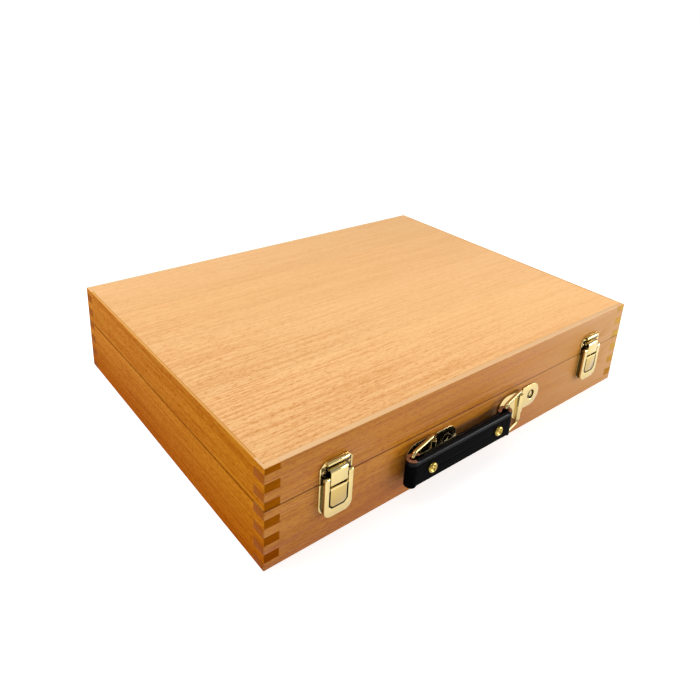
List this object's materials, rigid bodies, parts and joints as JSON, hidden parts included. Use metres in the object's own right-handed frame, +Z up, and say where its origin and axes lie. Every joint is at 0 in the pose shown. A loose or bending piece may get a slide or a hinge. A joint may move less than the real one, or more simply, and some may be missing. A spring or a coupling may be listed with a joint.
{
  "type": "art supply box",
  "caption": "Finger-jointed wooden case with a hinged lid, toggle latches on the front and a leather strap handle that folds flat, divided inside for art supplies.",
  "frame": {"origin": "centre of the case's underside", "axes": "+X along the front to the right, +Y from the front to the hinges at the back, +Z up"},
  "size_m": [0.4, 0.3212, 0.0809],
  "materials": {
    "beech_front": "oiled beech, warm brown",
    "beech_side": "oiled beech, warm orange brown",
    "beech_panel": "lacquered pale beech",
    "beech_divider": "plain planed beech",
    "strap_leather": "black, smooth, semi-gloss",
    "filler_leather": "raw tan",
    "brass_fastener": "plated, satin",
    "brass_cap": "plated, polished",
    "brass_wire": "plated, polished",
    "brass_sheet": "plated, polished"
  },
  "bodies": {
    "base": {"base_front": "beech_front", "base_back": "beech_front", "base_left": "beech_side", "base_right": "beech_side", "bottom_panel": "beech_panel", "long_divider": "beech_divider", "cross_divider_left": "beech_divider", "cross_divider_right": "beech_divider", "hinge_left_base_leaf": "brass_sheet", "hinge_left_pin": "brass_fastener", "hinge_right_base_leaf": "brass_sheet", "hinge_right_pin": "brass_fastener", "hinge_base_screws": "brass_fastener", "latch_left_plate": "brass_sheet", "latch_right_plate": "brass_sheet", "latch_plate_nails": "brass_fastener", "handle_left_plate": "brass_sheet", "handle_right_plate": "brass_sheet", "handle_plate_screws": "brass_fastener"},
    "lid": {"lid_front": "beech_front", "lid_back": "beech_front", "lid_left": "beech_side", "lid_right": "beech_side", "lid_panel": "beech_panel", "hinge_left_lid_leaf": "brass_sheet", "hinge_right_lid_leaf": "brass_sheet", "hinge_lid_screws": "brass_fastener", "latch_left_keeper": "brass_sheet", "latch_right_keeper": "brass_sheet", "keeper_nails": "brass_fastener"},
    "lever_left": {"latch_left_lever": "brass_sheet", "latch_left_lever_pin": "brass_fastener", "latch_left_hook_pin": "brass_fastener"},
    "hook_left": {"latch_left_hook": "brass_sheet"},
    "lever_right": {"latch_right_lever": "brass_sheet", "latch_right_lever_pin": "brass_fastener", "latch_right_hook_pin": "brass_fastener"},
    "hook_right": {"latch_right_hook": "brass_sheet"},
    "ring_left": {"handle_left_ring": "brass_wire"},
    "ring_right": {"handle_right_ring": "brass_wire"},
    "handle": {"handle_strap": "strap_leather", "handle_filler": "filler_leather", "handle_rivets": "brass_cap"}
  },
  "joints": [
    {"name": "lid_hinge", "type": "hinge", "parent": "base", "child": "lid", "pos_m": [0, 0.1532, 0.0483], "axis": [-1, 0, 0], "range_deg": [0, 180]},
    {"name": "lever_left_hinge", "type": "hinge", "parent": "base", "child": "lever_left", "pos_m": [-0.1448, -0.153, 0.052], "axis": [-1, 0, 0], "range_deg": [0, 120]},
    {"name": "hook_left_hinge", "type": "hinge", "parent": "lever_left", "child": "hook_left", "pos_m": [-0.1448, -0.1533, 0.0476], "axis": [-1, 0, 0], "range_deg": [-120, 0]},
    {"name": "lever_right_hinge", "type": "hinge", "parent": "base", "child": "lever_right", "pos_m": [0.1483, -0.153, 0.052], "axis": [-1, 0, 0], "range_deg": [0, 120]},
    {"name": "hook_right_hinge", "type": "hinge", "parent": "lever_right", "child": "hook_right", "pos_m": [0.1483, -0.1533, 0.0476], "axis": [-1, 0, 0], "range_deg": [-120, 0]},
    {"name": "ring_left_hinge", "type": "hinge", "parent": "base", "child": "ring_left", "pos_m": [-0.0533, -0.1519, 0.0271], "axis": [0, 0, 1], "range_deg": [0, 154.46]},
    {"name": "ring_right_hinge", "type": "hinge", "parent": "base", "child": "ring_right", "pos_m": [0.0505, -0.1519, 0.0271], "axis": [0, 0, 1], "range_deg": [0, 154.46]},
    {"name": "strap_hinge", "type": "hinge", "parent": "ring_left", "child": "handle", "pos_m": [-0.08022, -0.158, 0.0271], "axis": [0, 0, 1], "range_deg": [-154.46, 0]}
  ],
  "couplings": [
    {"joint": "hook_left_hinge", "follows": "lever_left_hinge", "ratio": -1},
    {"joint": "hook_right_hinge", "follows": "lever_right_hinge", "ratio": -1},
    {"joint": "ring_right_hinge", "follows": "ring_left_hinge", "ratio": 1},
    {"joint": "strap_hinge", "follows": "ring_left_hinge", "ratio": -1}
  ]
}
